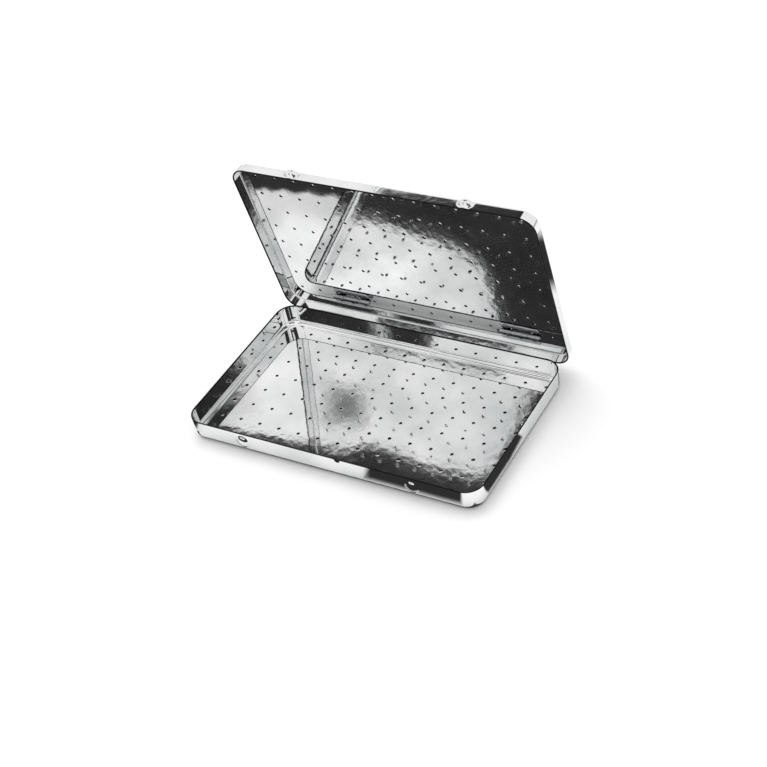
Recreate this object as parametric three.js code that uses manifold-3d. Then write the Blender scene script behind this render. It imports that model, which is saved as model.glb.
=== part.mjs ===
// Sterilization case: a flat, hinged instrument case pressed from polished stainless steel.
// Millimetres, +Z up, +X along the case's length, -Y its front, where the lid opens.
// The origin is the centre of the base tray's underside. The lid stands open at openAngle.
import * as THREE from "three";
import { mergeGeometries, mergeVertices } from "three/addons/utils/BufferGeometryUtils.js";
import Module from "manifold-3d";

const wasm = await Module();
wasm.setup();

// The closed case
const lidLength = 150;
const lidDepth = 92.2;
const closedHeight = 13;
const sheet = 0.6;
const rimBreak = 0.15;
const openAngle = THREE.MathUtils.degToRad(79.7);

// How the lid telescopes over the base
const sideClearance = 0.4;
const frontClearance = 1.3;
const rearClearance = 1.7;
const headroom = 1.3;
const lidHeight = 5.6;

// The pressed trays
const baseCornerRadius = 8.3;
const baseFoldRadius = 3.2;
const baseLean = THREE.MathUtils.degToRad(3);
const lidCornerRadius = 7.8;
const lidFoldRadius = 1.3;
const lidLean = THREE.MathUtils.degToRad(3);

// The perforation, a square grid of punched holes in each tray
const holeRadius = 0.65;
const holeMargin = 6;
const baseColumnPitch = 10.36;
const lidColumnPitch = 10.15;
const rowPitch = 10.5;
const lidRowShift = 2;

// What is pressed or cut in the front walls
const domeEndDistance = 31;
const baseDomeRadius = 3.3;
const baseDomeHeight = 1;
const baseDomeDrop = 4.8;
const lidDomeRadius = 2.5;
const lidDomeLength = 7.2;
const lidDomeHeight = 2.2;
const lidDomeDrop = 2.6;
const dimpleRadius = 1.6;
const dimpleHeight = 0.7;
const notchRadius = 1.5;
const notchOffset = 7;

// The two butt hinges
const hingeEndDistance = 29;
const leafLength = 20;
const leafSheet = 0.5;
const leafSeat = 0.2;
const leafBend = 0.5;
const leafMargin = 0.4;
const pinRadius = 0.6;
const pinFit = 0.05;
const pinProud = 0.3;
const pinChamfer = 0.2;
const lidKnuckleLength = 8;
const knuckleGap = 0.25;
const seamGap = 0.3;
const axisDrop = 1.4;

// Overrun of every cutting tool, and how round the curves are
const overrun = 1;
const cornerSteps = 6;
const foldSteps = 4;
const holeSides = 8;
const domeSides = 20;
const domeSteps = 5;
const curlSteps = 16;
const pinSides = 16;

// Sizes that follow from the ones above
const baseLength = lidLength - 2 * (sheet + sideClearance);
const baseDepth = lidDepth - 2 * sheet - frontClearance - rearClearance;
const baseHeight = closedHeight - sheet - headroom;
const lidRimZ = closedHeight - lidHeight;
const lidFrontY = -(baseDepth / 2 + frontClearance + sheet);
const lidRearY = baseDepth / 2 + rearClearance + sheet;
const lidCentreY = (lidFrontY + lidRearY) / 2;
const domeX = baseLength / 2 - domeEndDistance;
const hingeX = baseLength / 2 - hingeEndDistance;
const boreRadius = pinRadius + pinFit;
const knuckleRadius = boreRadius + leafSheet;
const axisZ = lidRimZ - axisDrop;
const lidWallAtAxisY = lidRearY + Math.tan(lidLean) * axisDrop;
const axisY = lidWallAtAxisY - (boreRadius - leafSeat) / Math.cos(lidLean);

// A closed triangle mesh as a solid that can be joined and cut
function toSolid(geometry) {
  const bare = geometry.clone();
  bare.deleteAttribute("normal");
  bare.deleteAttribute("uv");
  const merged = mergeVertices(bare);
  const vertProperties = new Float32Array(merged.attributes.position.array);
  const triVerts = new Uint32Array(merged.index.array);
  return new wasm.Manifold(new wasm.Mesh({ numProp: 3, vertProperties, triVerts }));
}

// The solid's own surface as a geometry again
function toGeometry(solid) {
  const mesh = solid.getMesh();
  const geometry = new THREE.BufferGeometry();
  geometry.setAttribute("position", new THREE.BufferAttribute(mesh.vertProperties, 3));
  geometry.setIndex(new THREE.BufferAttribute(mesh.triVerts, 1));
  geometry.computeVertexNormals();
  return geometry;
}

// A box tool from its lowest to its highest corner
function boxBetween(low, high) {
  const size = new THREE.Vector3().subVectors(high, low);
  const centre = new THREE.Vector3().addVectors(low, high).multiplyScalar(0.5);
  const box = new THREE.BoxGeometry(size.x, size.y, size.z);
  return toSolid(box.translate(centre.x, centre.y, centre.z));
}

// One level of a tray: a rectangle with round corners, drawn in from the rim by the inset
function trayRing(length, depth, cornerRadius, inset, z) {
  const radius = cornerRadius - inset;
  const centreX = length / 2 - cornerRadius;
  const centreY = depth / 2 - cornerRadius;
  const points = [];
  for (let corner = 0; corner < 4; corner++) {
    const sideX = corner === 0 || corner === 3 ? 1 : -1;
    const sideY = corner < 2 ? 1 : -1;
    for (let step = 0; step <= cornerSteps; step++) {
      const angle = (corner + step / cornerSteps) * (Math.PI / 2);
      const x = sideX * centreX + radius * Math.cos(angle);
      const y = sideY * centreY + radius * Math.sin(angle);
      points.push(new THREE.Vector3(x, y, z));
    }
  }
  return points;
}

// The tray's section from under the floor, round the fold, over the rim and back to the floor
function traySection(height, foldRadius, lean) {
  const foldInset = Math.tan(lean) * (height - foldRadius) + foldRadius / Math.cos(lean);
  const wallInset = sheet / Math.cos(lean);
  const breakInset = Math.tan(lean) * rimBreak;
  const fold = (radius) => {
    const arc = [];
    for (let step = 0; step <= foldSteps; step++) {
      const angle = (step / foldSteps) * (Math.PI / 2 - lean);
      arc.push([foldInset - radius * Math.sin(angle), foldRadius - radius * Math.cos(angle)]);
    }
    return arc;
  };
  const rim = [
    [breakInset, height - rimBreak],
    [rimBreak, height],
    [wallInset - rimBreak, height],
    [wallInset + breakInset, height - rimBreak],
  ];
  return [...fold(foldRadius), ...rim, ...fold(foldRadius - sheet).reverse()];
}

// A pressed tray that stands on its floor, centred, with its rim up
function trayShell(length, depth, height, cornerRadius, foldRadius, lean) {
  const section = traySection(height, foldRadius, lean);
  const rings = section.map(([inset, z]) => trayRing(length, depth, cornerRadius, inset, z));
  const count = rings[0].length;
  const positions = rings.flat().flatMap((point) => point.toArray());
  const index = [];
  for (let level = 0; level + 1 < rings.length; level++) {
    for (let k = 0; k < count; k++) {
      const next = (k + 1) % count;
      const [a, b] = [level * count + k, level * count + next];
      const [c, d] = [a + count, b + count];
      index.push(a, b, d, a, d, c);
    }
  }
  const under = rings.length * count;
  const inside = under + 1;
  positions.push(0, 0, section[0][1], 0, 0, section.at(-1)[1]);
  for (let k = 0; k < count; k++) {
    const next = (k + 1) % count;
    index.push(under, next, k);
    index.push(inside, inside - 1 - count + k, inside - 1 - count + next);
  }
  const geometry = new THREE.BufferGeometry();
  geometry.setAttribute("position", new THREE.Float32BufferAttribute(positions, 3));
  geometry.setIndex(index);
  return geometry;
}

// The punches of one tray, through a floor that lies between the heights low and high
function punches(length, depth, columnPitch, centreY, low, high) {
  const holeColumns = Math.floor((length - 2 * holeMargin) / columnPitch) + 1;
  const holeRows = Math.floor((depth - 2 * holeMargin) / rowPitch) + 1;
  const tools = [];
  for (let row = 0; row < holeRows; row++) {
    for (let column = 0; column < holeColumns; column++) {
      const height = high - low + 2 * overrun;
      const punch = new THREE.CylinderGeometry(holeRadius, holeRadius, height, holeSides);
      const x = (column - (holeColumns - 1) / 2) * columnPitch;
      const y = centreY + (row - (holeRows - 1) / 2) * rowPitch;
      tools.push(punch.rotateX(Math.PI / 2).translate(x, y, (low + high) / 2));
    }
  }
  return toSolid(mergeGeometries(tools));
}

// A round cap of the given radius and height, on a short stem that reaches down to depth
function capTool(radius, height, thinning, depth) {
  const ball = (radius * radius + height * height) / (2 * height);
  const centre = height - ball;
  const inner = ball - thinning;
  const foot = Math.acos(Math.max((-depth - centre) / inner, -1));
  const profile = [];
  for (let step = 0; step <= domeSteps; step++) {
    const angle = (step / domeSteps) * foot;
    profile.push(new THREE.Vector2(inner * Math.sin(angle), centre + inner * Math.cos(angle)));
  }
  profile[0].x = 0;
  profile.push(new THREE.Vector2(0, -depth));
  return new THREE.LatheGeometry(profile.reverse(), domeSides);
}

// Presses a dome out of a front wall at a point of its outer face: metal out, hollow in
function pressDome(solid, point, normal, radius, height, length) {
  const turn = new THREE.Quaternion().setFromUnitVectors(new THREE.Vector3(0, 1, 0), normal);
  const stretch = new THREE.Vector3(length / (2 * radius), 1, 1);
  const place = new THREE.Matrix4().compose(point, turn, stretch);
  const outside = toSolid(capTool(radius, height, 0, sheet / 2).applyMatrix4(place));
  const hollow = toSolid(capTool(radius, height, sheet, sheet + rimBreak).applyMatrix4(place));
  return solid.add(outside).subtract(hollow);
}

// Base tray
function makeBaseTray() {
  const shell = trayShell(
    baseLength, baseDepth, baseHeight, baseCornerRadius, baseFoldRadius, baseLean);
  const holes = punches(baseLength, baseDepth, baseColumnPitch, 0, 0, sheet);
  let solid = toSolid(shell).subtract(holes);
  const normal = new THREE.Vector3(0, -Math.cos(baseLean), -Math.sin(baseLean));
  const domeY = -(baseDepth / 2 - Math.tan(baseLean) * baseDomeDrop);
  for (const side of [-1, 1]) {
    const point = new THREE.Vector3(side * domeX, domeY, baseHeight - baseDomeDrop);
    const width = 2 * baseDomeRadius;
    solid = pressDome(solid, point, normal, baseDomeRadius, baseDomeHeight, width);
  }
  const notchDepth = 2 * (sheet + overrun);
  const notch = new THREE.CylinderGeometry(notchRadius, notchRadius, notchDepth, domeSides);
  return solid.subtract(toSolid(notch.translate(notchOffset, -baseDepth / 2, baseHeight)));
}

// Lid tray, closed: upside down over the base
function makeLidTray() {
  const shell = trayShell(
    lidLength, lidDepth, lidHeight, lidCornerRadius, lidFoldRadius, lidLean);
  shell.rotateX(Math.PI).translate(0, lidCentreY, closedHeight);
  const holesY = lidCentreY - lidRowShift;
  const holes = punches(
    lidLength, lidDepth, lidColumnPitch, holesY, closedHeight - sheet, closedHeight);
  let solid = toSolid(shell).subtract(holes);
  const normal = new THREE.Vector3(0, -Math.cos(lidLean), Math.sin(lidLean));
  const wallY = lidFrontY + Math.tan(lidLean) * (lidHeight - lidDomeDrop);
  const z = closedHeight - lidDomeDrop;
  for (const side of [-1, 1]) {
    const point = new THREE.Vector3(side * domeX, wallY, z);
    solid = pressDome(solid, point, normal, lidDomeRadius, lidDomeHeight, lidDomeLength);
  }
  const middle = new THREE.Vector3(0, wallY, z);
  return pressDome(solid, middle, normal, dimpleRadius, dimpleHeight, 2 * dimpleRadius);
}

// A leaf's outline, drawn in the plane across the hinge axis, pulled along the axis
function leafAlongAxis(outline) {
  const settings = { depth: leafLength, bevelEnabled: false, curveSegments: curlSteps };
  const blank = new THREE.ExtrudeGeometry(outline, settings);
  const cycle = new THREE.Matrix4().makeBasis(
    new THREE.Vector3(0, 1, 0), new THREE.Vector3(0, 0, 1), new THREE.Vector3(1, 0, 0));
  return blank.applyMatrix4(cycle).translate(-leafLength / 2, 0, 0);
}

// Lid leaf about the hinge axis: a flat plate up the wall, rolled under the pin and round it
function makeLidLeaf() {
  const top = (closedHeight - lidFoldRadius - leafMargin - axisZ) / Math.cos(lidLean);
  const seam = Math.acos((boreRadius - seamGap) / knuckleRadius);
  const outline = new THREE.Shape();
  outline.moveTo(knuckleRadius, 0);
  outline.lineTo(knuckleRadius, top);
  outline.lineTo(boreRadius, top);
  outline.lineTo(boreRadius, 0);
  outline.absarc(0, 0, boreRadius, 0, seam, true);
  outline.absarc(0, 0, knuckleRadius, seam, 0, false);
  let solid = toSolid(leafAlongAxis(outline));
  const reach = knuckleRadius + knuckleGap;
  for (const side of [-1, 1]) {
    const near = side * (lidKnuckleLength / 2);
    const far = side * (leafLength / 2 + overrun);
    const low = new THREE.Vector3(Math.min(near, far), -reach, -reach);
    const high = new THREE.Vector3(Math.max(near, far), reach, reach);
    solid = solid.subtract(boxBetween(low, high));
  }
  return toGeometry(solid).rotateX(lidLean);
}

// Base leaf about the hinge axis: down the rear wall, back under the pin and rolled over it
function makeBaseLeaf() {
  const tilt = Math.tan(baseLean);
  const faceY = (z, away) => {
    const wallY = baseDepth / 2 - tilt * (baseHeight - axisZ - z) - axisY;
    return wallY + away / Math.cos(baseLean);
  };
  const top = baseHeight - leafMargin - axisZ;
  const seam = Math.PI + Math.asin((boreRadius - seamGap) / knuckleRadius);
  const innerBend = leafBend + leafSheet;
  const wallSide = faceY(-knuckleRadius, leafSeat);
  const pinSide = faceY(-boreRadius, leafSeat + leafSheet);
  const outline = new THREE.Shape();
  outline.moveTo(0, -knuckleRadius);
  outline.lineTo(wallSide + innerBend, -knuckleRadius);
  outline.quadraticCurveTo(
    wallSide, -knuckleRadius, faceY(innerBend - knuckleRadius, leafSeat), innerBend - knuckleRadius);
  outline.lineTo(faceY(top, leafSeat), top);
  outline.lineTo(faceY(top, leafSeat + leafSheet), top);
  outline.lineTo(faceY(leafBend - boreRadius, leafSeat + leafSheet), leafBend - boreRadius);
  outline.quadraticCurveTo(pinSide, -boreRadius, pinSide + leafBend, -boreRadius);
  outline.lineTo(0, -boreRadius);
  outline.absarc(0, 0, boreRadius, -Math.PI / 2, seam, false);
  outline.absarc(0, 0, knuckleRadius, seam, -Math.PI / 2, true);
  const reach = knuckleRadius + knuckleGap;
  const half = lidKnuckleLength / 2 + knuckleGap;
  const low = new THREE.Vector3(-half, -reach, -reach);
  const high = new THREE.Vector3(half, reach, reach);
  return toGeometry(toSolid(leafAlongAxis(outline)).subtract(boxBetween(low, high)));
}

// Hinge pin: a length of wire with its ends chamfered
function makePin() {
  const half = leafLength / 2 + pinProud;
  const profile = [
    new THREE.Vector2(0, -half),
    new THREE.Vector2(pinRadius - pinChamfer, -half),
    new THREE.Vector2(pinRadius, pinChamfer - half),
    new THREE.Vector2(pinRadius, half - pinChamfer),
    new THREE.Vector2(pinRadius - pinChamfer, half),
    new THREE.Vector2(0, half),
  ];
  return new THREE.LatheGeometry(profile, pinSides).rotateZ(-Math.PI / 2);
}

// Materials: polished tray steel, and the drawn steel of the hinges and their wire pins
const trayFinish = { color: "#c9cbcd", roughness: 0.12, metalness: 1 };
const leafFinish = { color: "#b9bbbe", roughness: 0.25, metalness: 1 };
const pinFinish = { color: "#a9abae", roughness: 0.2, metalness: 1 };

function namedMesh(name, geometry, finish) {
  const mesh = new THREE.Mesh(geometry, new THREE.MeshStandardMaterial(finish));
  mesh.name = name;
  return mesh;
}

// The assembly: everything that swings with the lid hangs in one group on the hinge axis
const sterilizationCase = new THREE.Group();
const lid = new THREE.Group();
lid.position.set(0, axisY, axisZ);
lid.rotation.x = -openAngle;
sterilizationCase.add(lid);

sterilizationCase.add(namedMesh("base_tray", toGeometry(makeBaseTray()), trayFinish));
const lidGeometry = toGeometry(makeLidTray()).translate(0, -axisY, -axisZ);
lid.add(namedMesh("lid_tray", lidGeometry, trayFinish));

for (const [name, side] of [["left", -1], ["right", 1]]) {
  const x = side * hingeX;
  const baseLeaf = namedMesh(`${name}_hinge_base_leaf`, makeBaseLeaf(), leafFinish);
  baseLeaf.position.set(x, axisY, axisZ);
  const lidLeaf = namedMesh(`${name}_hinge_lid_leaf`, makeLidLeaf(), leafFinish);
  lidLeaf.position.x = x;
  const pin = namedMesh(`${name}_hinge_pin`, makePin(), pinFinish);
  pin.position.set(x, axisY, axisZ);
  sterilizationCase.add(baseLeaf, pin);
  lid.add(lidLeaf);
}

export default sterilizationCase;
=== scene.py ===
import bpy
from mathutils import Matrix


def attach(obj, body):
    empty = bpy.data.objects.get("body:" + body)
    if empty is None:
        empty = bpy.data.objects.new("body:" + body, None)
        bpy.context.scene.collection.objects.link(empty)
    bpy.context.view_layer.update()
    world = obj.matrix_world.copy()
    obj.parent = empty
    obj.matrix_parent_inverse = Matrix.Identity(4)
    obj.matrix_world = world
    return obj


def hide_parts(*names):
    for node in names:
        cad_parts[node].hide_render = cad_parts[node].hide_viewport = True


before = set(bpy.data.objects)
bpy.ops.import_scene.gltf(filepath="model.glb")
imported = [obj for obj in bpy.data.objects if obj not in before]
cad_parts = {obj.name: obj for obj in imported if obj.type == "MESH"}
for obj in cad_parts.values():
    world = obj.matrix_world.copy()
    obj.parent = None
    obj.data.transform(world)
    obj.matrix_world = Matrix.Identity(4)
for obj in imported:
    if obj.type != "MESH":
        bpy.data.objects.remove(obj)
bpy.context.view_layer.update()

import math

import bmesh
import bpy
from mathutils import Matrix, Quaternion, Vector
from mathutils.geometry import delaunay_2d_cdt


# Base tray: the lower half of the case. Stainless sheet, 0.6 mm thick, deep drawn in one press
# stroke so that its corners are round, punched with 112 holes, then buffed to a mirror.
# Two round snap domes are pressed out of its front wall, and a nail notch is cut in the rim.
MM = 0.001  # lengths are in millimetres, and MM turns them into Blender's metres
SHEET = 0.6
LEAN = math.radians(3)
HOLE_COLUMNS, HOLE_ROWS = 14, 8
ROW_PITCH = 10.5
HOLE_RADIUS = 0.65
HOLE_POINTS = 16

BASE_LENGTH, BASE_DEPTH, BASE_HEIGHT = 148, 88, 11.1
BASE_CORNER, BASE_FOLD = 8.3, 3.2
BASE_COLUMN_PITCH = 10.36
DOME_X = 43


def side_stations(half, spots):
    """Where a straight side is divided: coarse all along it, and fine over the pressed spots
    and close to its ends, so that the flat of the wall keeps true beside the round corner"""
    coarse, end_strip, spot_margin = 8, 0.3, 0.5
    count = max(2, round(2 * half / coarse))
    stations = [half * (2 * k / count - 1) for k in range(count + 1)]
    stations += [end_strip - half, half - end_strip]
    for centre, reach, step in spots:
        stations = [s for s in stations if abs(s - centre) > reach + spot_margin]
        steps = round(2 * reach / step)
        stations += [centre - reach + 2 * reach * k / steps for k in range(steps + 1)]
    return sorted(stations)


def rim_outline(length, depth, corner, spots, spot_side):
    """The rim line, anticlockwise, each point with its outward direction"""
    half_x, half_y = length / 2 - corner, depth / 2 - corner
    corner_steps = 20
    plain, spotted = side_stations(half_x, []), side_stations(half_x, spots)
    rear, front = (spotted, plain) if spot_side > 0 else (plain, spotted)
    sides = [
        [(half_x + corner, y, 1, 0) for y in side_stations(half_y, [])],
        [(x, half_y + corner, 0, 1) for x in reversed(rear)],
        [(-half_x - corner, y, -1, 0) for y in reversed(side_stations(half_y, []))],
        [(x, -half_y - corner, 0, -1) for x in front],
    ]
    line = []
    for quarter, (side, centre) in enumerate(zip(sides, [(1, 1), (-1, 1), (-1, -1), (1, -1)])):
        line += side
        for step in range(1, corner_steps):
            turn = (quarter + step / corner_steps) * math.pi / 2
            out_x, out_y = math.cos(turn), math.sin(turn)
            x = centre[0] * half_x + corner * out_x
            y = centre[1] * half_y + corner * out_y
            line.append((x, y, out_x, out_y))
    return line


def wall_section(height, fold):
    """The sheet's section: under the floor, round the fold, up the wall, over the rim and back"""
    fold_inset = math.tan(LEAN) * (height - fold) + fold / math.cos(LEAN)
    fold_steps, wall_rows, rim_steps, flat_strip = 20, 26, 8, 0.3

    def bend(radius):
        turns = [k / fold_steps * (math.pi / 2 - LEAN) for k in range(fold_steps + 1)]
        return [(fold_inset - radius * math.sin(t), fold - radius * math.cos(t)) for t in turns]

    def wall(thickness, low, high):
        rows = [low + (high - low) * k / wall_rows for k in range(1, wall_rows)]
        return [(math.tan(LEAN) * (height - z) + thickness / math.cos(LEAN), z) for z in rows]

    half = SHEET / 2
    rim_inset = math.tan(LEAN) * half + half / math.cos(LEAN)
    rim = []
    for step in range(rim_steps + 1):
        turn = math.pi + LEAN - math.pi * step / rim_steps
        rim.append((rim_inset + half * math.cos(turn), height - half + half * math.sin(turn)))
    outside, inside = bend(fold), bend(fold - SHEET)
    outer_wall = wall(0, outside[-1][1], rim[0][1])
    inner_wall = wall(SHEET, inside[-1][1], rim[-1][1])
    floor_inset = fold_inset + flat_strip
    return ([(floor_inset, 0)] + outside + outer_wall + rim + inner_wall[::-1] + inside[::-1]
            + [(floor_inset, SHEET)])


def press_dome(points, wall_side, centre, width, radius, height):
    """Pushes both skins of a wall outwards about a point of its outer face, in a dome with a
    width along the wall, a radius up and down it, and a height outwards"""
    wall_zone, crown, flank = 6, 3, 1.5
    up = Vector((0, wall_side * math.sin(LEAN), math.cos(LEAN)))
    out = Vector((0, wall_side * math.cos(LEAN), -math.sin(LEAN)))
    for point in points:
        offset = point - centre
        if offset.y * wall_side < -wall_zone:
            continue
        far = math.hypot(offset.x / (width / 2), offset.dot(up) / radius)
        if far < 1:
            point += out * (height * (1 - far**crown) ** flank)


def cut_notch(points, wall_side, depth, rim_z, centre_x, radius):
    """A half-round nail notch in the rim: the rim dips, and the wall below it is taken up"""
    reach = 3
    foot = rim_z - reach
    rim_low = rim_z - SHEET / 2
    for point in points:
        across = point.x - centre_x
        if abs(across) >= radius or point.y * wall_side < depth / 2 - reach or point.z < foot:
            continue
        dip = math.sqrt(radius**2 - across**2)
        point.z -= dip * min(1, (point.z - foot) / (rim_low - foot))


def hole_centres(column_pitch, centre_y):
    """The middles of the holes, which stand in straight rows and columns"""
    return [
        ((column - (HOLE_COLUMNS - 1) / 2) * column_pitch,
         centre_y + (row - (HOLE_ROWS - 1) / 2) * ROW_PITCH)
        for row in range(HOLE_ROWS)
        for column in range(HOLE_COLUMNS)
    ]


def punch_hole(points, faces, sheared, centre_x, centre_y):
    """Adds a hole's wall, and gives its rings of points in the floor above and below. The
    punch draws the sheet in a little above, and leaves a small inward burr below."""
    section = [
        (1.15, SHEET), (0.8, SHEET), (0.77, 0.598), (0.71, 0.58), (0.665, 0.54),
        (HOLE_RADIUS, 0.48), (0.62, 0.2), (0.42, 0.06), (0.46, 0), (0.5, 0), (1.15, 0),
    ]
    cut_rings = range(2, 8)
    first = len(points)
    for radius, z in section:
        for k in range(HOLE_POINTS):
            turn = 2 * math.pi * k / HOLE_POINTS
            x, y = centre_x + radius * math.cos(turn), centre_y + radius * math.sin(turn)
            points.append(Vector((x, y, z)))
    for ring in range(len(section) - 1):
        start = first + ring * HOLE_POINTS
        for k in range(HOLE_POINTS):
            here, after = start + k, start + (k + 1) % HOLE_POINTS
            if ring in cut_rings:
                sheared.append(len(faces))
            faces.append((here, here + HOLE_POINTS, after + HOLE_POINTS, after))
    above = list(range(first, first + HOLE_POINTS))
    below = list(range(len(points) - HOLE_POINTS, len(points)))
    return above, below


def lay_floor(points, faces, rings):
    """Fills the flat floor between the fold, whose ring comes first, and the holes. It is the
    same above and below."""
    flat, edges, owner = [], [], []
    for number, (ring, _) in enumerate(rings):
        first, size = len(flat), len(ring)
        flat += [points[k].xy for k in ring]
        edges += [(first + k, first + (k + 1) % size) for k in range(size)]
        owner += [number] * size
    above = [k for ring, _ in rings for k in ring]
    below = [k for _, ring in rings for k in ring]
    inside_only, tolerance = 1, 1e-6
    found = delaunay_2d_cdt(flat, edges, [], inside_only, tolerance, True)
    same = [origins[0] for origins in found[3]]
    for triangle in found[2]:
        a, b, c = (same[k] for k in triangle)
        in_hole = owner[a] > 0 and owner[a] == owner[b] == owner[c]
        if not in_hole:
            faces.append((above[a], above[b], above[c]))
            faces.append((below[c], below[b], below[a]))


def pressed_tray(length, depth, height, corner, fold, spots, spot_side, holes):
    """The points and faces of a pressed tray that stands on its perforated floor, in mm, and
    the faces where the press has cut the sheet: the rim and the holes"""
    outline = rim_outline(length, depth, corner, spots, spot_side)
    section = wall_section(height, fold)
    count = len(outline)
    points = [
        Vector((x - inset * out_x, y - inset * out_y, z))
        for inset, z in section
        for x, y, out_x, out_y in outline
    ]
    faces, sheared = [], []
    for level in range(len(section) - 1):
        for k in range(count):
            here, after = level * count + k, level * count + (k + 1) % count
            if section[level][1] > height - SHEET and section[level + 1][1] > height - SHEET:
                sheared.append(len(faces))
            faces.append((here, after, after + count, here + count))
    inner_ring = (len(section) - 1) * count
    rings = [(list(range(inner_ring, inner_ring + count)), list(range(count)))]
    for centre_x, centre_y in holes:
        rings.append(punch_hole(points, faces, sheared, centre_x, centre_y))
    lay_floor(points, faces, rings)
    return points, faces, sheared


def make_piece(name, points, faces):
    """A smooth-shaded object in the scene from points in metres"""
    mesh = bpy.data.meshes.new(name)
    mesh.from_pydata([tuple(p) for p in points], [], faces)
    work = bmesh.new()
    work.from_mesh(mesh)
    bmesh.ops.recalc_face_normals(work, faces=work.faces)
    for face in work.faces:
        face.smooth = True
    work.to_mesh(mesh)
    work.free()
    piece = bpy.data.objects.new(name, mesh)
    bpy.context.scene.collection.objects.link(piece)
    return piece


# Where the front wall is pressed or cut: a place along it, a reach either side, a fine step
dome_spots = [(-DOME_X, 5, 0.36), (DOME_X, 5, 0.36)]
notch_x, notch_radius = 7, 1.5
notch_spot = (notch_x, 2, 0.1)

# The base's front looks towards -y, and its rows of holes lie about its middle
base_front = -1
base_holes_y = 0
base_holes = hole_centres(BASE_COLUMN_PITCH, base_holes_y)
base_points, base_faces, base_cuts = pressed_tray(
    BASE_LENGTH, BASE_DEPTH, BASE_HEIGHT, BASE_CORNER, BASE_FOLD,
    dome_spots + [notch_spot], base_front, base_holes)
base_dome_drop = 4.8
base_dome_z = BASE_HEIGHT - base_dome_drop
base_dome_y = -(BASE_DEPTH / 2 - math.tan(LEAN) * base_dome_drop)
for side in (-1, 1):
    dome_centre = Vector((side * DOME_X, base_dome_y, base_dome_z))
    press_dome(base_points, base_front, dome_centre, width=7.0, radius=3.5, height=1.0)
cut_notch(base_points, base_front, BASE_DEPTH, BASE_HEIGHT, notch_x, notch_radius)
base_tray = make_piece("pressed_base_tray", [p * MM for p in base_points], base_faces)


def linear(colour):
    """An sRGB hex colour as linear red, green, blue and alpha"""
    shares = [int(colour[k:k + 2], 16) / 255 for k in (1, 3, 5)]
    return [s / 12.92 if s <= 0.04045 else ((s + 0.055) / 1.055) ** 2.4 for s in shares] + [1]


def add_node(tree, kind, settings, inputs):
    """Adds a node, sets its properties, and gives each input a value or a link"""
    node = tree.nodes.new(kind)
    for name, value in settings.items():
        setattr(node, name, value)
    for name, value in inputs.items():
        if isinstance(value, bpy.types.NodeSocket):
            tree.links.new(value, node.inputs[name])
        else:
            node.inputs[name].default_value = value
    return node


def bare_steel(name):
    """A metal material to build on: the material, its tree, its shader and the place on it"""
    material = bpy.data.materials.new(name)
    material.use_nodes = True
    tree = material.node_tree
    shader = tree.nodes["Principled BSDF"]
    shader.inputs["Metallic"].default_value = 1
    place = add_node(tree, "ShaderNodeTexCoord", {}, {}).outputs["Object"]
    return material, tree, shader, place


# Buffed stainless steel, 18/8: neutral grey and cloudy in tone, a mirror with slow waves from
# pressing, and the finest haze from the mop, a little uneven where the wheel stayed longer.
# The mop's strokes are drawn 0.7 mm wide, because the real ones are too fine to show.
def buffed_stainless():
    material, tree, shader, place = bare_steel("buffed_stainless")
    wave_mm, cloud_mm, haze_mm, peel_mm, mop_mm = 34, 26, 9, 4, 0.7
    wave_height, peel_height, mop_height = 0.04, 0.012, 0.0004
    clouds = add_node(tree, "ShaderNodeTexNoise", {}, {
        "Vector": place, "Scale": 1 / (cloud_mm * MM), "Detail": 4, "Roughness": 0.5})
    bloom = add_node(tree, "ShaderNodeValToRGB", {}, {"Fac": clouds.outputs["Fac"]})
    bloom.color_ramp.elements[0].position = 0.3
    bloom.color_ramp.elements[0].color = linear("#dfe1e1")
    bloom.color_ramp.elements[1].position = 0.62
    bloom.color_ramp.elements[1].color = linear("#f4f4f4")
    tree.links.new(bloom.outputs["Color"], shader.inputs["Base Color"])
    haze = add_node(tree, "ShaderNodeTexNoise", {}, {
        "Vector": place, "Scale": 1 / (haze_mm * MM), "Detail": 5, "Roughness": 0.62})
    roughness = add_node(tree, "ShaderNodeMapRange", {}, {
        "Value": haze.outputs["Fac"], "From Min": 0.3, "From Max": 0.72,
        "To Min": 0.03, "To Max": 0.048})
    tree.links.new(roughness.outputs["Result"], shader.inputs["Roughness"])
    waves = add_node(tree, "ShaderNodeTexNoise", {}, {
        "Vector": place, "Scale": 1 / (wave_mm * MM), "Detail": 1.5, "Roughness": 0.4})
    slow = add_node(tree, "ShaderNodeBump", {}, {
        "Height": waves.outputs["Fac"], "Strength": 1, "Distance": wave_height * MM})
    peel = add_node(tree, "ShaderNodeTexNoise", {}, {
        "Vector": place, "Scale": 1 / (peel_mm * MM), "Detail": 2, "Roughness": 0.4})
    orange_peel = add_node(tree, "ShaderNodeBump", {}, {
        "Height": peel.outputs["Fac"], "Strength": 1, "Distance": peel_height * MM,
        "Normal": slow.outputs["Normal"]})
    strokes = add_node(tree, "ShaderNodeMapping", {}, {"Vector": place, "Scale": (0.12, 1, 1)})
    mop = add_node(tree, "ShaderNodeTexNoise", {}, {
        "Vector": strokes.outputs["Vector"], "Scale": 1 / (mop_mm * MM), "Detail": 3})
    fine = add_node(tree, "ShaderNodeBump", {}, {
        "Height": mop.outputs["Fac"], "Strength": 1, "Distance": mop_height * MM,
        "Normal": orange_peel.outputs["Normal"]})
    tree.links.new(fine.outputs["Normal"], shader.inputs["Normal"])
    return material


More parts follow.
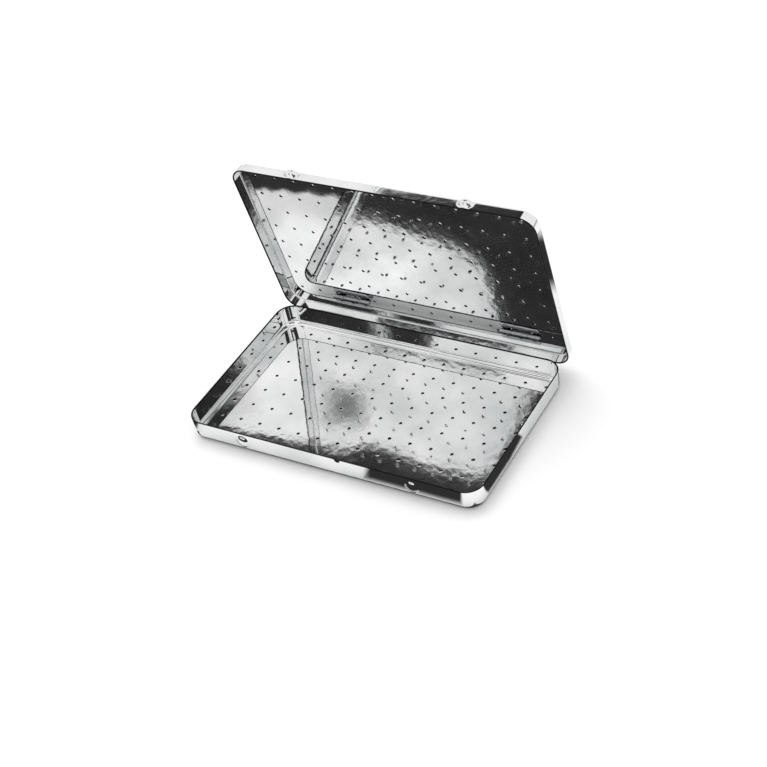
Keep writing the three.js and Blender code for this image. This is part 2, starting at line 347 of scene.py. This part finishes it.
# The cut edge of the sheet, in the holes and along the trimmed rim: rough and not reached by the
# mop.
# Its colour is painted near black, painted shade, so that holes read as dark dots and rims as a
# dark line
def cut_edge_painted_dark():
    material, tree, shader, place = bare_steel("cut_edge_painted_dark")
    shader.inputs["Roughness"].default_value = 0.55
    grain_mm = 0.2
    grain = add_node(tree, "ShaderNodeTexNoise", {}, {
        "Vector": place, "Scale": 1 / (grain_mm * MM), "Detail": 2})
    # The near-black ramp is painted shade: the shade deep in the holes, and a painted dark outline
    # along the rims
    painted_shade_ramp = add_node(tree, "ShaderNodeValToRGB", {}, {"Fac": grain.outputs["Fac"]})
    painted_shade_ramp.color_ramp.elements[0].color = linear("#0c0c0d")
    painted_shade_ramp.color_ramp.elements[1].color = linear("#2c2c2d")
    tree.links.new(painted_shade_ramp.outputs["Color"], shader.inputs["Base Color"])
    return material


def finish_tray(tray, cut_faces):
    """Buffs a tray all over, and gives its cut faces, the rim and the holes, the cut edge painted
    dark as painted shade
    """
    tray.data.materials.append(tray_steel)
    tray.data.materials.append(cut_steel_painted_dark)
    for face in cut_faces:
        tray.data.polygons[face].material_index = 1


tray_steel = buffed_stainless()
cut_steel_painted_dark = cut_edge_painted_dark()
finish_tray(base_tray, base_cuts)
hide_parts("base_tray")
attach(base_tray, "base")


# Lid tray: the shallower half, pressed from the same sheet. Shut, it drops over the base.
# It is modelled shut and then swung open about the hinge axis, as the photograph shows it.
# Its front wall has two deep oblong snap domes and a small dimple between them.
LID_LENGTH, LID_DEPTH, LID_HEIGHT = 150, 92.2, 5.6
LID_CORNER, LID_FOLD = 7.8, 1.3
LID_COLUMN_PITCH = 10.15
LID_CENTRE_Y = 0.2
SHUT_HEIGHT = 13
AXIS_Y, AXIS_Z = 45.9228, 6.0
OPEN_ANGLE = math.radians(79.7)

swing_open = (
    Matrix.Translation((0, AXIS_Y, AXIS_Z))
    @ Matrix.Rotation(-OPEN_ANGLE, 4, "X")
    @ Matrix.Translation((0, -AXIS_Y, -AXIS_Z)))
turn_over = (
    Matrix.Translation((0, LID_CENTRE_Y, SHUT_HEIGHT)) @ Matrix.Rotation(math.pi, 4, "X"))

# The press has the lid open side up, with its front at the back until it is turned over.
# Its rows of holes lie a little nearer its front.
lid_front = 1
lid_holes_y = 2
lid_holes = hole_centres(LID_COLUMN_PITCH, lid_holes_y)
dimple_spot = (0, 2.4, 0.3)
lid_points, lid_faces, lid_cuts = pressed_tray(
    LID_LENGTH, LID_DEPTH, LID_HEIGHT, LID_CORNER, LID_FOLD,
    dome_spots + [dimple_spot], lid_front, lid_holes)

lid_dome_z = 2.6
lid_dome_y = LID_DEPTH / 2 - math.tan(LEAN) * (LID_HEIGHT - lid_dome_z)
for side in (-1, 1):
    dome_centre = Vector((side * DOME_X, lid_dome_y, lid_dome_z))
    press_dome(lid_points, lid_front, dome_centre, width=7.8, radius=2.7, height=2.2)
dimple_centre = Vector((0, lid_dome_y, lid_dome_z))
press_dome(lid_points, lid_front, dimple_centre, width=3.6, radius=1.8, height=0.7)
lid_points = [swing_open @ turn_over @ p * MM for p in lid_points]
lid_tray = make_piece("pressed_lid_tray", lid_points, lid_faces)
finish_tray(lid_tray, lid_cuts)
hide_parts("lid_tray")
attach(lid_tray, "lid")


# Hinge leaves: strip steel, 0.5 mm, stamped 20 mm long, with tongues rolled round a wire pin.
# The lid's leaf has one knuckle in the middle, the base's leaf one at each end.
# Each plate is spot welded to its tray, and the welds show as three shallow round dimples.
HINGE_X = 45
LEAF_HALF, LEAF_SHEET, LEAF_CORNER = 10, 0.5, 1.2
ROLL_RADIUS = 0.9
LID_KNUCKLE_HALF, KNUCKLE_GAP = 4, 0.25
WELD_PLACES, WELD_RADIUS, WELD_DEPTH = (-6.6, 0, 6.6), 1.1, 0.2


def arc(centre, radius, start, end, steps):
    """Points round an arc, whose start and end are in degrees"""
    turns = [math.radians(start + (end - start) * k / steps) for k in range(steps + 1)]
    return [(centre[0] + radius * math.cos(t), centre[1] + radius * math.sin(t)) for t in turns]


def straight(start, end, steps):
    """Points along a straight line, without its last one"""
    return [
        (start[0] + (end[0] - start[0]) * k / steps, start[1] + (end[1] - start[1]) * k / steps)
        for k in range(steps)
    ]


def hinge_leaf(name, line, plate_rows, has_knuckle):
    """One leaf as a single skin along its middle line, with stamped corners and its welds"""
    station_step, end_strip, corner_rows, weld_row, weld_flank = 0.25, 0.1, 8, 9, 1.5
    steps = round(2 * LEAF_HALF / station_step)
    stations = sorted(
        [station_step * k - LEAF_HALF for k in range(steps + 1)]
        + [LEAF_HALF - end_strip, end_strip - LEAF_HALF])
    along_plate = Vector((0, line[1][0] - line[0][0], line[1][1] - line[0][1])).normalized()
    towards_tray = Vector((0, -1, 0))
    points, faces = [], []
    for row, (y, z) in enumerate(line):
        for x in stations:
            point = Vector((x, y, z))
            over = abs(x) - (LEAF_HALF - LEAF_CORNER)
            if over > 0 and row < plate_rows:
                cut = LEAF_CORNER - math.sqrt(max(0, LEAF_CORNER**2 - over**2))
                point += along_plate * cut * max(0, 1 - row / corner_rows)
            for weld_x in WELD_PLACES:
                away = math.hypot(x - weld_x, y - line[weld_row][0], z - line[weld_row][1])
                if away < WELD_RADIUS and row < plate_rows:
                    dip = (1 - (away / WELD_RADIUS) ** 2) ** weld_flank
                    point += towards_tray * WELD_DEPTH * dip
            points.append(point)
    count = len(stations)
    for row in range(len(line) - 1):
        for k in range(count - 1):
            middle = (stations[k] + stations[k + 1]) / 2
            if row < plate_rows or has_knuckle(middle):
                here = row * count + k
                faces.append((here, here + 1, here + 1 + count, here + count))
    piece = make_piece(name, points, faces)
    work = bmesh.new()
    work.from_mesh(piece.data)
    loose = [v for v in work.verts if not v.link_faces]
    bmesh.ops.delete(work, geom=loose, context="VERTS")
    work.to_mesh(piece.data)
    work.free()
    return piece


def give_thickness(piece):
    """Gives a leaf the strip's thickness, and the soft edges that tumbling leaves"""
    soft_edge = 0.07
    sheet = piece.modifiers.new("strip_thickness", "SOLIDIFY")
    sheet.thickness = LEAF_SHEET * MM
    sheet.offset = 0
    sheet.use_even_offset = True
    edge = piece.modifiers.new("tumbled_edges", "BEVEL")
    edge.width = soft_edge * MM
    edge.segments = 2
    edge.limit_method = "ANGLE"
    edge.angle_limit = math.radians(50)
    even = piece.modifiers.new("even_reflections", "WEIGHTED_NORMAL")
    even.keep_sharp = False


def drawn_steel(name, colour, line_mm, stretch, detail, smooth, rough, strength, height_mm):
    """Steel with fine lines along it, which change its gloss and stand up a little"""
    material, tree, shader, place = bare_steel(name)
    shader.inputs["Base Color"].default_value = linear(colour)
    along = add_node(tree, "ShaderNodeMapping", {}, {"Vector": place, "Scale": (stretch, 1, 1)})
    lines = add_node(tree, "ShaderNodeTexNoise", {}, {
        "Vector": along.outputs["Vector"], "Scale": 1 / (line_mm * MM), "Detail": detail})
    roughness = add_node(tree, "ShaderNodeMapRange", {}, {
        "Value": lines.outputs["Fac"], "From Min": 0.3, "From Max": 0.7,
        "To Min": smooth, "To Max": rough})
    tree.links.new(roughness.outputs["Result"], shader.inputs["Roughness"])
    bump = add_node(tree, "ShaderNodeBump", {}, {
        "Height": lines.outputs["Fac"], "Strength": strength, "Distance": height_mm * MM})
    tree.links.new(bump.outputs["Normal"], shader.inputs["Normal"])
    return material


# Drawn stainless strip: satin, with fine lines along it from the rolls. They are drawn 0.25 mm
# wide, because the real ones are too fine to show.
hinge_steel = drawn_steel(
    "drawn_strip_steel", "#cfd0d2", line_mm=0.25, stretch=0.03, detail=4,
    smooth=0.2, rough=0.34, strength=0.25, height_mm=0.04)

plate_steps, bend_steps, tongue_steps, roll_steps = 20, 10, 5, 40
roll_end = 287

# The lid's leaf, about the hinge axis with the lid shut: plate up the wall, rolled under the pin
lid_plate_top, lid_plate_foot = 5.307, 1.4
lid_line = straight((ROLL_RADIUS, lid_plate_top), (ROLL_RADIUS, lid_plate_foot), plate_steps)
lid_line += straight((ROLL_RADIUS, lid_plate_foot), (ROLL_RADIUS, 0), tongue_steps)
lid_line += arc((0, 0), ROLL_RADIUS, 0, -roll_end, roll_steps)

# The base's leaf: plate down the wall, bent back under the pin and rolled up over it
wall_y = -1.7395
base_plate_top, base_plate_foot, rows_into_bend = 4.7, -0.15, 4
bend_radius, bend_gap = 0.75, 0.1
base_line = straight(
    (wall_y + math.tan(LEAN) * base_plate_top, base_plate_top),
    (wall_y + math.tan(LEAN) * base_plate_foot, base_plate_foot), plate_steps)
base_line += arc((wall_y + bend_radius, base_plate_foot), bend_radius, 180, 270, bend_steps)
base_line += straight(
    (wall_y + bend_radius + bend_gap, -ROLL_RADIUS), (0, -ROLL_RADIUS), tongue_steps)
base_line += arc((0, 0), ROLL_RADIUS, -90, roll_end - 90, roll_steps)

lid_lean = Matrix.Rotation(LEAN, 4, "X")
for name, side in (("left", -1), ("right", 1)):
    on_axis = Matrix.Translation((side * HINGE_X, AXIS_Y, AXIS_Z))
    lid_leaf = hinge_leaf(
        name + "_lid_leaf_strip", lid_line, plate_steps, lambda x: abs(x) < LID_KNUCKLE_HALF)
    lid_leaf.data.transform(Matrix.Scale(MM, 4) @ swing_open @ on_axis @ lid_lean)
    base_leaf = hinge_leaf(
        name + "_base_leaf_strip", base_line, plate_steps + rows_into_bend,
        lambda x: abs(x) > LID_KNUCKLE_HALF + KNUCKLE_GAP)
    base_leaf.data.transform(Matrix.Scale(MM, 4) @ on_axis)
    for leaf, body in ((lid_leaf, "lid"), (base_leaf, "base")):
        give_thickness(leaf)
        leaf.data.materials.append(hinge_steel)
        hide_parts(f"{name}_hinge_{body}_leaf")
        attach(leaf, body)


# Hinge pins: 1.2 mm stainless wire, cut to length and pushed through the knuckles.
# Their ends are peened over slightly, so that they stay in.
PIN_RADIUS, PIN_HALF = 0.6, 10.3


def wire_pin(name, centre_x):
    """The wire turned from its profile, with a small round crown at both ends"""
    sides, crown_steps = 32, 8
    crown_length, cut_radius, tip_radius, middle = 0.3, 0.25, 0.02, 6
    crown = [(-PIN_HALF, tip_radius)]
    for k in range(1, crown_steps + 1):
        turn = math.pi / 2 * k / crown_steps
        crown.append((
            crown_length - PIN_HALF - crown_length * math.cos(turn),
            cut_radius + (PIN_RADIUS - cut_radius) * math.sin(turn)))
    profile = crown + [(x, PIN_RADIUS) for x in (-middle, 0, middle)]
    profile += [(-x, radius) for x, radius in reversed(crown)]
    points, faces = [], []
    for x, radius in profile:
        for k in range(sides):
            turn = 2 * math.pi * k / sides
            points.append(Vector((
                centre_x + x, AXIS_Y + radius * math.cos(turn), AXIS_Z + radius * math.sin(turn))))
    for ring in range(len(profile) - 1):
        for k in range(sides):
            here, after = ring * sides + k, ring * sides + (k + 1) % sides
            faces.append((here, after, after + sides, here + sides))
    faces.append(tuple(range(sides)))
    faces.append(tuple(range(len(points) - sides, len(points))))
    return make_piece(name, [p * MM for p in points], faces)


# Cold drawn wire: a shade darker than the strip and glossier, with fine lines from the die.
# They are drawn 0.12 mm wide, because the real ones are too fine to show.
pin_steel = drawn_steel(
    "cold_drawn_wire", "#bfc0c3", line_mm=0.12, stretch=0.02, detail=3,
    smooth=0.14, rough=0.28, strength=0.2, height_mm=0.02)
for name, side in (("left", -1), ("right", 1)):
    pin = wire_pin(name + "_pin_wire", side * HINGE_X)
    pin.data.materials.append(pin_steel)
    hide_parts(f"{name}_hinge_pin")
    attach(pin, "base")


# The studio: a white table, soft light from all round and above, black flags that the mirror
# finish picks up as dark reflections, and one white silk for the lightest band of the lid.
# Its sizes are in metres, and those of the flags in millimetres.
table_half, table_squares, table_drop = 4, 24, 0.0001
table_mesh = bpy.data.meshes.new("white_table")
work = bmesh.new()
bmesh.ops.create_grid(work, x_segments=table_squares, y_segments=table_squares, size=table_half)
work.to_mesh(table_mesh)
work.free()
table = bpy.data.objects.new("white_table", table_mesh)
table.location.z = -table_drop
bpy.context.scene.collection.objects.link(table)

table_paper = bpy.data.materials.new("matt_white_paper")
table_paper.use_nodes = True
paper = table_paper.node_tree.nodes["Principled BSDF"]
paper.inputs["Base Color"].default_value = linear("#f4f4f4")
paper.inputs["Roughness"].default_value = 0.9
paper.inputs["Specular IOR Level"].default_value = 0.1
table.data.materials.append(table_paper)

world = bpy.data.worlds.new("soft_white_room")
world.use_nodes = True
bpy.context.scene.world = world
room = world.node_tree.nodes["Background"]
room.inputs["Color"].default_value = linear("#ffffff")
room.inputs["Strength"].default_value = 0.95

lamp_data = bpy.data.lights.new("overhead_softbox", "AREA")
lamp_data.shape = "RECTANGLE"
lamp_data.size = 0.9
lamp_data.size_y = 0.6
lamp_data.energy = 6
lamp = bpy.data.objects.new("overhead_softbox", lamp_data)
lamp.location = (-0.35, 0.25, 1.3)
lamp.rotation_euler = (-lamp.location).to_track_quat("-Z", "Y").to_euler()
lamp.visible_glossy = False
bpy.context.scene.collection.objects.link(lamp)


# Black felt flags, one of them a dark sheet of painted shade under the case, and one white silk:
# the camera and the paper don't see them, only the steel does. Their edges are teased out, so that
# a reflection fades instead of ending in a line.
def flag_cloth(name, colour, strength):
    material = bpy.data.materials.new(name)
    material.use_nodes = True
    tree = material.node_tree
    tree.nodes.clear()
    cover = add_node(tree, "ShaderNodeAttribute", {"attribute_name": "cover"}, {})
    weave = add_node(tree, "ShaderNodeEmission", {}, {
        "Color": linear(colour), "Strength": strength})
    gap = add_node(tree, "ShaderNodeBsdfTransparent", {}, {})
    nap = add_node(tree, "ShaderNodeMixShader", {}, {"Fac": cover.outputs["Fac"]})
    tree.links.new(gap.outputs["BSDF"], nap.inputs[1])
    tree.links.new(weave.outputs["Emission"], nap.inputs[2])
    add_node(tree, "ShaderNodeOutputMaterial", {}, {"Surface": nap.outputs["Shader"]})
    return material


felt = flag_cloth("black_felt", "#323132", 1)
silk = flag_cloth("white_silk", "#ffffff", 1.22)


def inside_by(x, y, outline):
    """How far a point lies inside a closed outline, and less than nought outside it"""
    nearest, inside = math.inf, False
    for (ax, ay), (bx, by) in zip(outline, outline[1:] + outline[:1]):
        length = (bx - ax) ** 2 + (by - ay) ** 2
        along = max(0, min(1, ((x - ax) * (bx - ax) + (y - ay) * (by - ay)) / length))
        nearest = min(nearest, math.hypot(x - ax - along * (bx - ax), y - ay - along * (by - ay)))
        if (ay > y) != (by > y) and x < ax + (y - ay) / (by - ay) * (bx - ax):
            inside = not inside
    return nearest if inside else -nearest


def felt_flag(name, outline, feather, place, density=1, cells=60, material=felt):
    """A flag cut to an outline in mm, set in place by a matrix. Its edge is teased over the
    feather's width, and its density says how much of what is behind it it hides."""
    low = [min(p[k] for p in outline) - feather for k in (0, 1)]
    high = [max(p[k] for p in outline) + feather for k in (0, 1)]
    points, faces, cover = [], [], []
    for row in range(cells + 1):
        for column in range(cells + 1):
            x = low[0] + (high[0] - low[0]) * column / cells
            y = low[1] + (high[1] - low[1]) * row / cells
            share = max(0, min(1, 0.5 + inside_by(x, y, outline) / (2 * feather)))
            cover.append(density * share * share * (3 - 2 * share))
            points.append(place @ (Vector((x, y, 0)) * MM))
    for row in range(cells):
        for column in range(cells):
            here = row * (cells + 1) + column
            faces.append((here, here + 1, here + cells + 2, here + cells + 1))
    flag = make_piece(name, points, faces)
    shares = flag.data.attributes.new("cover", "FLOAT", "POINT")
    shares.data.foreach_set("value", cover)
    flag.data.materials.append(material)
    flag.visible_camera = False
    flag.visible_diffuse = False
    flag.visible_shadow = False
    flag.visible_transmission = False


def stand(azimuth, elevation, distance=1.0):
    """Where a flag hangs: a direction seen from the case, 0 in front of it and 90 to its right"""
    turn, rise = math.radians(azimuth), math.radians(elevation)
    out = Vector((
        math.sin(turn) * math.cos(rise), -math.cos(turn) * math.cos(rise), math.sin(rise)))
    right = Vector((0, 0, 1)).cross(out).normalized()
    up = out.cross(right)
    place = Matrix((right, up, out)).transposed().to_4x4()
    case_middle = Vector((0, 0, 0.03))
    place.translation = case_middle + out * distance
    return place


# The flags hang about a metre off on three sides. Those that overlap hang one before another.
# Each has its side, its distance, the width of its teased edge, its density and its outline.
left_front, camera_side, left_rear = (-37, 38), (48, 35), (-137, 42)
hanging_flags = [
    ("flag_lid", left_front, 1, 3, 1, [
        (-118, 430), (-116, 346), (-88, 338), (-85, 300), (-83, 280), (-80, 262), (-94, 238),
        (-117, 213), (-147, 187), (-180, 160), (-215, 146), (-215, 118), (-190, 98), (-90, 92),
        (-60, 140), (0, 206), (80, 250), (80, 430)]),
    ("flag_junction", left_front, 0.98, 4, 1, [(-95, 78), (45, 150), (60, 110), (-75, 40)]),
    ("flag_rear_corner", left_front, 0.98, 4, 1, [
        (88, 164), (130, 188), (130, 220), (88, 194)]),
    ("flag_front_band", left_front, 1, 3, 1, [
        (-140, -218), (-60, -198), (0, -188), (50, -189), (78, -176), (112, -163),
        (150, -152), (173, -149), (192, -168), (208, -188), (238, -246), (290, -270),
        (300, -110), (190, -112), (120, -112), (70, -104), (52, -92), (50, -40), (5, -48),
        (1, -112), (-9, -120), (-6, -51), (-40, -60), (-140, -100)]),
    ("flag_smudge", left_front, 0.99, 18, 0.8, [
        (0, -258), (38, -252), (36, -214), (-4, -218)]),
    ("flag_floor_right", left_front, 0.97, 22, 0.45, [
        (214, -170), (224, -300), (300, -300), (300, -170)]),
    ("flag_camera_side", camera_side, 1, 5, 1, [
        (-430, -85), (-180, -85), (-150, -95), (-38, 52), (-26, 76), (8, 76), (6, 38),
        (-14, 34), (-128, -110), (-126, -205), (-148, -232), (-148, -258), (-134, -275),
        (-124, -292), (300, -290), (300, 235), (175, 225), (140, 195), (100, 172), (60, 158),
        (36, 158), (18, 174), (0, 192), (-40, 194), (-60, 208), (-92, 236), (-100, 362),
        (-130, 374), (-430, 374)]),
    ("flag_back", left_rear, 1, 4, 1, [
        (-26, 66), (-160, 140), (-420, 290), (-420, 420), (60, 420), (0, 160), (-18, 90)]),
    ("flag_floor_front", left_rear, 1, 2, 1, [
        (8, -28), (25, -37), (45, -47), (65, -58), (85, -68), (112, -84), (112, -62),
        (85, -46), (45, -25), (8, -6)]),
    ("flag_floor_left", left_rear, 0.98, 18, 0.3, [
        (55, -160), (140, -160), (140, -78), (55, -78)]),
]
for name, side, distance, feather, density, outline in hanging_flags:
    felt_flag(name, outline, feather, stand(*side, distance), density)
silk_outline = [(-262, 188), (-178, 188), (-150, 216), (-165, 246), (-262, 246)]
felt_flag("silk_lid", silk_outline, 24, stand(*left_front, 0.96), density=0.9, material=silk)

# A ring of thin felt skirting that stands all round, behind the flags
skirting = [(-380, -250), (380, -250), (380, 110), (-380, 110)]
skirting_step, skirting_rise, skirting_distance = 30, 4, 1.35
for turn in range(0, 360, skirting_step):
    standing = stand(turn, skirting_rise, skirting_distance)
    felt_flag(f"flag_skirting_{turn}", skirting, 60, standing, density=0.4, cells=12)

# Flags laid on the paper, each a little above the last, and under the case a dark sheet of painted
# shade.
# Each has the width of its teased edge, its density, how finely it is divided, and its outline.
paper_flags = [
    ("flag_paper_front", 1.5, 1, 200, [
        (17, -46), (64, -46), (64, -56), (90, -70), (90, -140), (-230, -140), (-230, -7),
        (-146, -8), (-139, -9.5), (-133, -7), (-127, -9.5), (-121, -8.5), (-115, -11),
        (-108, -9.5), (-101, -12.5), (-93, -11), (-86, -13), (-79, -11.5), (-76, -12),
        (-76, -56), (14, -56)]),
    ("flag_paper_left", 9, 0.32, 60, [
        (-230, -60), (-76, -60), (-76, 4), (-104, 4), (-116, 22), (-230, 22)]),
    ("flag_paper_right", 0.7, 1, 60, [(75, -31), (75, -10), (76, 4), (84, 7), (84, -31)]),
    ("flag_paper_back", 8, 1, 40, [(96, 112), (112, 104), (134, 146), (112, 152)]),
]
flag_lift = 0.0002
for level, (name, feather, density, cells, outline) in enumerate(paper_flags, 1):
    lying = Matrix.Translation((0, 0, level * flag_lift))
    felt_flag(name, outline, feather, lying, density, cells)
# The sheet under the case is painted shade: for the steel's reflections it stands in for the
# shadow that the case and its hinge cast on the paper
under_case = Matrix.Translation((0, 0, -table_drop / 2))
felt_flag("painted_shade_under_case", [
    (-73.9, -43.9), (73.9, -43.9), (73.9, 49), (36, 49), (22, 34), (-73.9, 34),
], 0.5, under_case, cells=240)

# The camera stands where the photograph was taken from, turned a little about its own axis
camera_data = bpy.data.cameras.new("camera")
camera_data.lens = 73.718
camera_data.sensor_width = 36
camera_data.clip_start = 0.01
camera = bpy.data.objects.new("camera", camera_data)
camera_place = Vector((0.329108, -0.423690, 0.459597))
camera_aim = Vector((0.001001, 0.008043, 0.009067))
level = (camera_aim - camera_place).to_track_quat("-Z", "Y")
roll = Quaternion((0, 0, 1), math.radians(-12.676))
camera.location = camera_place
camera.rotation_euler = (level @ roll).to_euler()
bpy.context.scene.collection.objects.link(camera)
bpy.context.scene.camera = camera

bpy.context.scene.view_settings.view_transform = "Standard"
